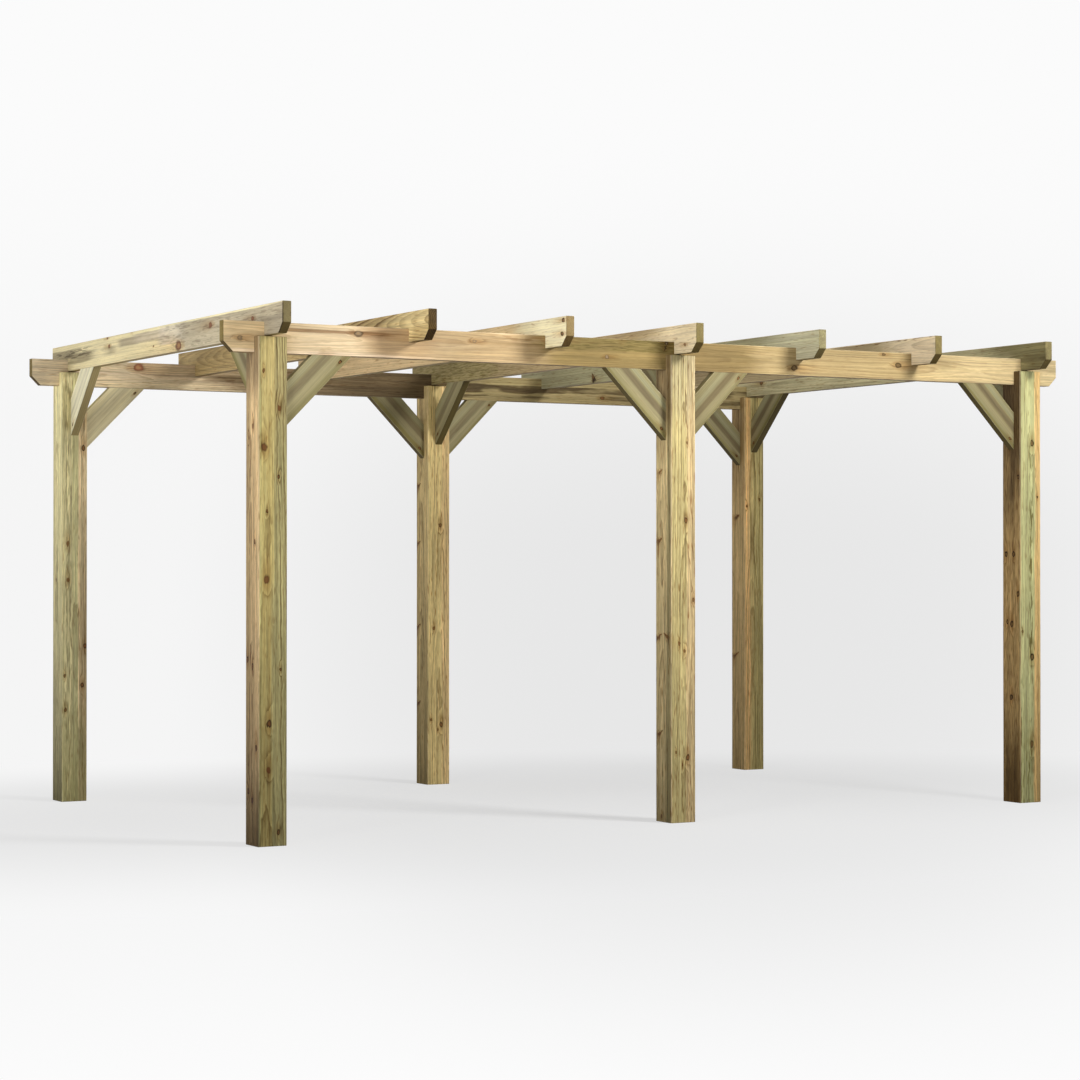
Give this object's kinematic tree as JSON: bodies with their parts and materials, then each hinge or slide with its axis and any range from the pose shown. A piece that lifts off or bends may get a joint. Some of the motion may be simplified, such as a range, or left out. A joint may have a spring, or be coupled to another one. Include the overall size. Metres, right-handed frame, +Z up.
{
  "type": "wooden pergola",
  "caption": "Open garden pergola: square forked posts, long beams on edge, notched rafters and mitred knee braces in planed pressure-treated softwood.",
  "frame": {"origin": "on the floor, in the middle of the plan of the six posts", "axes": "+X along the beams to the right as seen from the front row, +Y from the front row to the back row, +Z up"},
  "size_m": [4.975, 3.125, 2.514],
  "materials": {
    "post_timber": "planed, green-tinged pressure treatment",
    "beam_timber": "planed, green-tinged pressure treatment",
    "rafter_timber": "planed, green-tinged pressure treatment",
    "brace_timber": "planed, green-tinged pressure treatment"
  },
  "bodies": {
    "root": {"post_front_left": "post_timber", "post_front_middle": "post_timber", "post_front_right": "post_timber", "post_back_left": "post_timber", "post_back_middle": "post_timber", "post_back_right": "post_timber", "beam_front_left": "beam_timber", "beam_front_right": "beam_timber", "beam_back_left": "beam_timber", "beam_back_right": "beam_timber", "rafter_1": "rafter_timber", "rafter_2": "rafter_timber", "rafter_3": "rafter_timber", "rafter_4": "rafter_timber", "rafter_5": "rafter_timber", "rafter_6": "rafter_timber", "rafter_7": "rafter_timber", "beam_brace_front_left_to_right": "brace_timber", "beam_brace_front_middle_to_left": "brace_timber", "beam_brace_front_middle_to_right": "brace_timber", "beam_brace_front_right_to_left": "brace_timber", "beam_brace_back_left_to_right": "brace_timber", "beam_brace_back_middle_to_left": "brace_timber", "beam_brace_back_middle_to_right": "brace_timber", "beam_brace_back_right_to_left": "brace_timber", "rafter_brace_front_left": "brace_timber", "rafter_brace_front_middle": "brace_timber", "rafter_brace_front_right": "brace_timber", "rafter_brace_back_left": "brace_timber", "rafter_brace_back_middle": "brace_timber", "rafter_brace_back_right": "brace_timber"}
  },
  "joints": []
}
